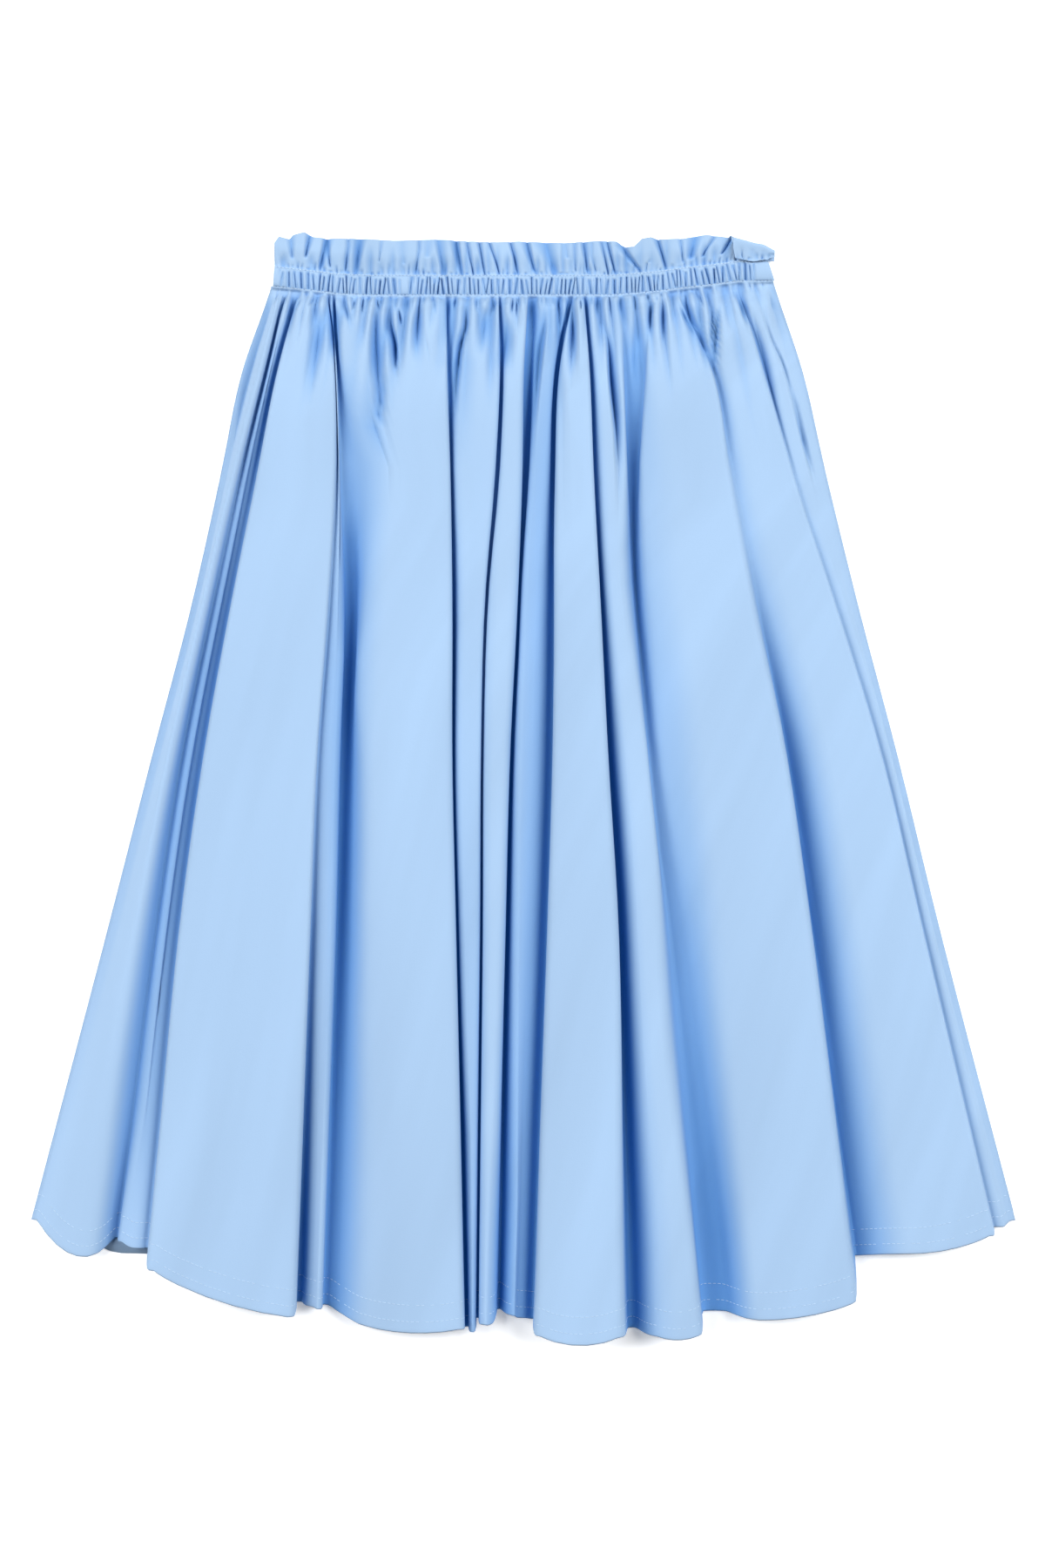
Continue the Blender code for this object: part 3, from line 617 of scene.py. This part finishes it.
def cloth_object(name, grid, uv, material, thick=CLOTH_THICK, row_deeps=None):
    """A sheet of cloth from a grid of points in millimetres, given its thickness by Solidify."""
    rows, columns = grid.shape[:2]
    if row_deeps is None:
        row_deeps = np.full(rows, WAIST_FOLD_DEEP)
    index = np.arange(rows * columns).reshape(rows, columns)
    faces = np.stack([index[:-1, :-1], index[1:, :-1], index[1:, 1:], index[:-1, 1:]], -1).reshape(-1, 4)
    mesh = bpy.data.meshes.new(name)
    mesh.from_pydata((grid.reshape(-1, 3) * MM).tolist(), [], faces.tolist())
    layer = mesh.uv_layers.new(name="cloth")
    corners = np.empty(len(mesh.loops), np.int32)
    mesh.loops.foreach_get("vertex_index", corners)
    layer.data.foreach_set("uv", (uv.reshape(-1, 2)[corners] * MM).ravel())
    # fold_depth is the mask that the material paints shade and glow from.
    mesh.attributes.new("fold_depth", "FLOAT", "POINT")
    mesh.attributes["fold_depth"].data.foreach_set("value", fold_depths(grid, row_deeps).ravel())
    mesh.update()
    mesh.shade_smooth()
    mesh.materials.append(material)
    piece = bpy.data.objects.new(name, mesh)
    bpy.context.scene.collection.objects.link(piece)
    wall = piece.modifiers.new("wall", "SOLIDIFY")
    wall.thickness = thick * MM
    wall.offset = 0
    return piece


def painted_fold_shade():
    """Node group: the cloth's colour with painted shade deep in its folds, streaks of painted sheen and
    uneven tone, and a painted glow standing in for light through the cloth.
    """
    group = bpy.data.node_groups.new("painted_fold_shade", "ShaderNodeTree")
    group.interface.new_socket("Depth", in_out="INPUT", socket_type="NodeSocketFloat")
    group.interface.new_socket("Color", in_out="OUTPUT", socket_type="NodeSocketColor")
    group.interface.new_socket("PaintedGlow", in_out="OUTPUT", socket_type="NodeSocketColor")
    nodes, links = group.nodes, group.links
    enter, leave = nodes.new("NodeGroupInput"), nodes.new("NodeGroupOutput")
    place = nodes.new("ShaderNodeUVMap")
    place.uv_map = "cloth"
    stretch = nodes.new("ShaderNodeMapping")
    stretch.inputs["Scale"].default_value = STREAKS
    # Streaks of painted sheen and uneven tone.
    streaks = nodes.new("ShaderNodeTexNoise")
    streaks.inputs["Scale"].default_value = 1
    streaks.inputs["Detail"].default_value = STREAK_DETAIL
    shade = nodes.new("ShaderNodeMapRange")
    shade.inputs["To Min"].default_value, shade.inputs["To Max"].default_value = SHEEN_STREAK_SHADES
    # Painted shade: the colour darkens and turns bluer deeper in the folds.
    fold_shade = nodes.new("ShaderNodeMix")
    fold_shade.data_type = "RGBA"
    fold_shade.inputs["A"].default_value = RIDGE_COLOUR
    fold_shade.inputs["B"].default_value = FOLD_SHADE_COLOUR
    tint = nodes.new("ShaderNodeMix")
    tint.data_type = "RGBA"
    tint.blend_type = "MULTIPLY"
    tint.inputs["Factor"].default_value = 1
    # Painted glow that grows with a power of the fold's depth.
    deepest = nodes.new("ShaderNodeMath")
    deepest.operation = "POWER"
    deepest.inputs[1].default_value = PAINTED_GLOW_POWER
    through = nodes.new("ShaderNodeMix")
    through.data_type = "RGBA"
    through.inputs["A"].default_value = (0, 0, 0, 1)
    through.inputs["B"].default_value = PAINTED_GLOW_COLOUR
    links.new(enter.outputs["Depth"], deepest.inputs[0])
    links.new(deepest.outputs["Value"], through.inputs["Factor"])
    links.new(through.outputs["Result"], leave.inputs["PaintedGlow"])
    links.new(place.outputs["UV"], stretch.inputs["Vector"])
    links.new(stretch.outputs["Vector"], streaks.inputs["Vector"])
    links.new(streaks.outputs["Fac"], shade.inputs["Value"])
    links.new(enter.outputs["Depth"], fold_shade.inputs["Factor"])
    links.new(fold_shade.outputs["Result"], tint.inputs["A"])
    links.new(shade.outputs["Result"], tint.inputs["B"])
    links.new(tint.outputs["Result"], leave.inputs["Color"])
    return group


def weave():
    """Node group: the height of the threads, thicker and thinner along their length as spun cotton is."""
    group = bpy.data.node_groups.new("weave", "ShaderNodeTree")
    group.interface.new_socket("Height", in_out="OUTPUT", socket_type="NodeSocketFloat")
    nodes, links = group.nodes, group.links
    leave = nodes.new("NodeGroupOutput")
    place = nodes.new("ShaderNodeUVMap")
    place.uv_map = "cloth"
    crossing = nodes.new("ShaderNodeMath")
    crossing.operation = "ADD"
    for number, scale in enumerate(WEAVE):
        stretch = nodes.new("ShaderNodeMapping")
        stretch.inputs["Scale"].default_value = scale
        threads = nodes.new("ShaderNodeTexNoise")
        threads.inputs["Scale"].default_value = 1
        threads.inputs["Detail"].default_value = WEAVE_DETAIL
        links.new(place.outputs["UV"], stretch.inputs["Vector"])
        links.new(stretch.outputs["Vector"], threads.inputs["Vector"])
        links.new(threads.outputs["Fac"], crossing.inputs[number])
    links.new(crossing.outputs["Value"], leave.inputs["Height"])
    return group


def cotton(name, colours, threads):
    """Light blue cotton poplin, with painted shade and a painted glow in its folds."""
    material = bpy.data.materials.new(name)
    material.use_nodes = True
    nodes, links = material.node_tree.nodes, material.node_tree.links
    depth = nodes.new("ShaderNodeAttribute")
    depth.attribute_name = "fold_depth"
    colour = nodes.new("ShaderNodeGroup")
    colour.node_tree = colours
    cloth = nodes.new("ShaderNodeGroup")
    cloth.node_tree = threads
    relief = nodes.new("ShaderNodeBump")
    relief.inputs["Strength"].default_value = WEAVE_STRENGTH
    relief.inputs["Distance"].default_value = WEAVE_RELIEF
    surface = nodes["Principled BSDF"]
    surface.inputs["Roughness"].default_value = COTTON_ROUGHNESS
    surface.inputs["Specular IOR Level"].default_value = COTTON_SHINE
    links.new(cloth.outputs["Height"], relief.inputs["Height"])
    links.new(relief.outputs["Normal"], surface.inputs["Normal"])
    links.new(depth.outputs["Fac"], colour.inputs["Depth"])
    links.new(colour.outputs["Color"], surface.inputs["Base Color"])
    # The painted glow shines from the cloth's emission.
    links.new(colour.outputs["PaintedGlow"], surface.inputs["Emission Color"])
    surface.inputs["Emission Strength"].default_value = 1
    return material


def sewing_thread():
    """Thread a little paler than the cloth."""
    material = bpy.data.materials.new("thread")
    material.use_nodes = True
    surface = material.node_tree.nodes["Principled BSDF"]
    surface.inputs["Base Color"].default_value = THREAD_COLOUR
    surface.inputs["Roughness"].default_value = THREAD_ROUGHNESS
    return material


def sheet(piece, node):
    """Hides the solid that a piece of cloth takes the place of, and attaches the piece to the root body."""
    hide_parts(node)
    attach(piece, "root")


def pattern_place(grid, down=0):
    """Each point's place on the pattern, for pieces that lie nearly flat."""
    return np.stack([grid[..., 0] + PATTERN_ACROSS, WAIST_Y - grid[..., 1] + down], -1)


def front_cloth(material):
    """The folded front with its turned-up hem. Its cut is as wide as the hem's row is along the folds."""
    grid, along, downs = front_grid()
    down = np.repeat(downs[:, None], along.shape[1], 1)
    deeps = np.interp(downs, FOLD_DEEP_AT, FOLD_DEEP)
    piece = cloth_object("front_cloth", grid, np.stack([along, down], -1), material, row_deeps=deeps)
    sheet(piece, "front_panel")
    return grid


def back_cloth(material):
    """The back lies flat under the front, just inside its outline, with low creases."""
    across = np.linspace(0, 1, BACK_COLUMNS)
    top_x = LEFT_OUTLINE[0] + BACK_INSET + (RIGHT_OUTLINE[0] - LEFT_OUTLINE[0] - 2 * BACK_INSET) * across
    hem_x = BACK_HEM_AT[0] + (BACK_HEM_AT[-1] - BACK_HEM_AT[0]) * across
    top = seam_drop(top_x)
    hem = np.interp(hem_x, BACK_HEM_AT, BACK_HEM_DROP)
    grid = []
    for t in np.linspace(0, 1, BACK_ROWS):
        left, right = outline_ends(t)
        left, right = left + BACK_INSET, right - BACK_INSET
        x = left + (right - left) * across
        z = BACK_HEIGHT + BACK_CREASE_HIGH * np.sin(across * BACK_CREASES) * (1 - t)
        grid.append(np.stack([x, WAIST_Y - (top + (hem - top) * t), z], 1))
    grid = np.array(grid)
    piece = cloth_object("back_cloth", grid, pattern_place(grid), material)
    sheet(piece, "back_panel")


def casing_edges(x):
    """y of the casing's upper and lower stitch rows."""
    low = WAIST_Y - seam_drop(x)
    return low + CASING_DEEP, low


def casing_front(material):
    """The shirred casing: narrow gathers that lean one way or the other between the two stitch rows."""
    spread = np.linspace(0, 1, CASING_COLUMNS)
    grid = []
    for part in np.linspace(0, 1, CASING_ROWS):
        left = CASING_LEFT[0] + (CASING_LEFT[1] - CASING_LEFT[0]) * part
        right = CASING_RIGHT[0] + (CASING_RIGHT[1] - CASING_RIGHT[0]) * part
        x = left + (right - left) * spread
        top, low = casing_edges(x)
        bulge = math.sin(math.pi * part) ** 0.5 if 0 < part < 1 else 0
        z = np.full_like(x, SEAM_HEIGHT + CASING_PUFF * bulge)
        calm = np.ones_like(x)
        for middle, half in SMOOTH_SPOTS:
            calm = np.minimum(calm, ease(np.abs(x - middle) / half - 0.5))
        for kind in CASING_GATHERS:
            place, begin, deep, lean = uneven(kind, *CASING_SPAN)
            slant = (lean - 0.5) * kind.lean * 2 - CASING_SLANT * ramp(place, *CASING_SLANT_AT)
            place = place - slant * (0.5 - part) * CASING_DEEP
            window = ease((part - begin * CASING_LATE) * CASING_SHARP) * ease((1 - part) * CASING_SHARP)
            deep = (kind.low + (kind.high - kind.low) * deep) * window
            z = z - calm * ridges(x, place, deep, kind.furthest * CASING_WIDEST)
        grid.append(np.stack([x, top + (low - top) * part, np.maximum(z, REST)], 1))
    grid = np.array(grid)
    piece = cloth_object("casing_front", grid, pattern_place(grid), material)
    sheet(piece, "waist_casing_front")
    return grid


def frill_depth(x, up):
    """How far the frill's folds lower it, up from the stitches."""
    depth = gathers_depth(FRILL_GATHERS, x, up, 0)
    for ruffle in RUFFLES:
        along = (CASING_DEEP + up + ruffle.low) / (ruffle.low - ruffle.high)
        along = np.clip(along, -RUFFLE_PAST, 1 + RUFFLE_PAST)
        at = ruffle.x + (ruffle.top_x - ruffle.x) * along
        widen = RUFFLE_WIDE + RUFFLE_WIDEN * np.clip(along, 0, 1)
        side = np.where(x < at, (at - x) / ruffle.left, (x - at) / ruffle.right) / widen
        fade = ease((along + RUFFLE_PAST) * RUFFLE_SHARP) * (1 - RUFFLE_FADE * np.clip(along, 0, 1))
        depth += RUFFLE_DEEP * ruffle.deep * fade * np.clip(1 - side, 0, 1) ** CREASE_POWER
    return depth


def frill_front(material):
    """The ruffled heading above the casing. Its right end is rolled over towards the front."""
    x = np.linspace(FRILL_TOP_AT[0], FRILL_TOP_AT[-1], FRILL_COLUMNS)
    base = casing_edges(x)[0]
    tall = WAIST_Y + np.interp(x, FRILL_TOP_AT, FRILL_TOP) - base
    roll = ease((x - ROLL_FROM) / ROLL_RAMP)
    flap = roll * np.interp(x, FLAP_AT, FLAP)
    straight = tall - ROLL_RADIUS * roll
    length = tall + roll * (math.pi - 1) * ROLL_RADIUS + flap
    grid = []
    for part in np.linspace(0, 1, FRILL_ROWS):
        along = part * length
        over = np.maximum(along - straight, 0)
        angle = np.minimum(over / ROLL_RADIUS, math.pi)
        up = np.minimum(along, straight) + ROLL_RADIUS * np.sin(angle) - (over - angle * ROLL_RADIUS)
        calm = 1 - roll * ramp(up / tall, *ROLL_CALM)
        z = SEAM_HEIGHT + (FRILL_HEIGHT - SEAM_HEIGHT) * ease(up / FRILL_RISE) - frill_depth(x, up) * calm
        z = above_rest(z) + ROLL_RADIUS * (1 - np.cos(angle))
        grid.append(np.stack([x, base + up, z], 1))
    grid = np.array(grid)[::-1]
    place = pattern_place(grid, PATTERN_DOWN)
    piece = cloth_object("frill_front_cloth", grid, place, material, FRILL_THICK)
    sheet(piece, "frill_front")


def waist_back(material):
    """The back of the casing and of the frill, flat behind the front ones."""
    x = np.linspace(*BACK_WAIST, BACK_WAIST_COLUMNS)
    z = BACK_HEIGHT + BACK_WAIST_WAVE * np.sin(x * BACK_WAIST_WAVES)
    top, low = casing_edges(x)
    height = WAIST_Y + np.interp(x, FRILL_TOP_AT, FRILL_TOP) - BACK_WAIST_INSET
    for name, node, ends in (
        ("casing_back", "waist_casing_back", (top, low)),
        ("frill_back_cloth", "frill_back", (height, top)),
    ):
        parts = np.linspace(0, 1, BACK_WAIST_ROWS)
        grid = np.array([np.stack([x, ends[0] + (ends[1] - ends[0]) * part, z], 1) for part in parts])
        piece = cloth_object(name, grid, pattern_place(grid, PATTERN_DOWN), material)
        sheet(piece, node)


def stitches(name, line, kind, seed, material):
    """A row of short stitches of thread that follows a line of points."""
    lift = CLOTH_THICK / 2 + CLEARANCE
    steps = np.concatenate([[0], np.cumsum(np.linalg.norm(np.diff(line, axis=0), axis=1))])
    rng = np.random.default_rng(seed)
    verts, faces = [], []
    sides = STITCH_SIDES
    ring = [(math.cos(a), math.sin(a)) for a in np.arange(sides) * math.pi / (sides / 2)]
    for start in np.arange(0, steps[-1] - kind.long, kind.pitch):
        if rng.uniform() < kind.skip:
            continue
        first = len(verts)
        places = (start, start + kind.long)
        ends = [np.array([np.interp(at, steps, line[:, k]) for k in range(3)]) for at in places]
        ahead = ends[1] - ends[0]
        ahead /= max(np.linalg.norm(ahead), LEAST_LENGTH)
        across = np.cross(ahead, (0, 0, 1))
        across /= max(np.linalg.norm(across), LEAST_LENGTH)
        up = np.cross(across, ahead)
        for part, size in STITCH_SHAPE:
            raised = up * (lift * (STITCH_SINK + (1 - STITCH_SINK) * size))
            centre = ends[0] + (ends[1] - ends[0]) * part + raised
            for a, b in ring:
                verts.append(centre + across * (a * kind.thick / 2 * size) + up * (b * kind.thick / 2 * size))
        last = first + (len(STITCH_SHAPE) - 1) * sides
        for row in range(first, last, sides):
            for j in range(sides):
                a, b = row + j, row + (j + 1) % sides
                faces.append((a, b, b + sides, a + sides))
        faces.append(tuple(range(first + sides - 1, first - 1, -1)))
        faces.append(tuple(range(last, last + sides)))
    mesh = bpy.data.meshes.new(name)
    mesh.from_pydata([tuple(v * MM) for v in verts], [], faces)
    mesh.materials.append(material)
    mesh.shade_smooth()
    piece = bpy.data.objects.new(name, mesh)
    bpy.context.scene.collection.objects.link(piece)
    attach(piece, "root")


def camera():
    """Looks straight down on the skirt, with the whole picture as wide as the photograph shows."""
    data = bpy.data.cameras.new("camera")
    view = bpy.data.objects.new("camera", data)
    bpy.context.scene.collection.objects.link(view)
    across = (PICTURE[0] / 2 - OUTLINE_MIDDLE[0]) * MM_PER_PIXEL * MM
    up = (OUTLINE_MIDDLE[1] - PICTURE[1] / 2) * MM_PER_PIXEL * MM
    view.location = (across, up, CAMERA_HEIGHT)
    data.sensor_width = SENSOR
    data.lens = SENSOR * CAMERA_HEIGHT / (PICTURE[1] * MM_PER_PIXEL * MM)
    bpy.context.scene.camera = view


def area_light(kind):
    """A soft light that is aimed at the middle of the skirt."""
    data = bpy.data.lights.new(kind.name, "AREA")
    data.shape = "RECTANGLE"
    data.size, data.size_y = kind.size
    data.energy = kind.power
    light = bpy.data.objects.new(kind.name, data)
    bpy.context.scene.collection.objects.link(light)
    light.location = kind.place
    light.rotation_euler = (Vector((0, 0, 0)) - Vector(kind.place)).to_track_quat("-Z", "Y").to_euler()


def studio():
    """White floor, faint white surroundings and three soft lights."""
    bpy.ops.mesh.primitive_plane_add(size=FLOOR_SIZE, location=(0, 0, 0))
    floor = bpy.context.object
    floor.name = "floor"
    material = bpy.data.materials.new("floor")
    material.use_nodes = True
    surface = material.node_tree.nodes["Principled BSDF"]
    surface.inputs["Base Color"].default_value = FLOOR_COLOUR
    surface.inputs["Roughness"].default_value = FLOOR_ROUGHNESS
    surface.inputs["Emission Color"].default_value = WHITE
    surface.inputs["Emission Strength"].default_value = FLOOR_GLOW
    floor.data.materials.append(material)
    world = bpy.data.worlds.new("studio")
    bpy.context.scene.world = world
    world.use_nodes = True
    background = world.node_tree.nodes["Background"]
    background.inputs["Color"].default_value = WHITE
    background.inputs["Strength"].default_value = WORLD_STRENGTH
    for kind in LIGHTS:
        area_light(kind)
    bpy.context.scene.view_settings.view_transform = "Standard"


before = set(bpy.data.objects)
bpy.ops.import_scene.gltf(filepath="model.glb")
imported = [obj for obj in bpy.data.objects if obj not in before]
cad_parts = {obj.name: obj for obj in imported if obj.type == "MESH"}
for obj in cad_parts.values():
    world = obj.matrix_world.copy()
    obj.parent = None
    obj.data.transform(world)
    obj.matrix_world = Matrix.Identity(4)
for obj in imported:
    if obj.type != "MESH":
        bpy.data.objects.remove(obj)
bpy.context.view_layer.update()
bpy.ops.object.select_all(action="DESELECT")
camera()
studio()
poplin = cotton("poplin", painted_fold_shade(), weave())
thread = sewing_thread()
front_points = front_cloth(poplin)
back_cloth(poplin)
casing_points = casing_front(poplin)
frill_front(poplin)
waist_back(poplin)
for number, row in enumerate((0, -1)):
    stitches("casing_stitches_%d" % number, casing_points[row], CASING_STITCH, 1, thread)
first_hem_row = len(NEAR_DROPS) + FAR_ROWS - 1
for number, distance in enumerate(STITCH_ROWS):
    line = front_points[first_hem_row + HEM_FROM.index(distance)]
    stitches("hem_stitches_%d" % number, line, HEM_STITCH, number, thread)
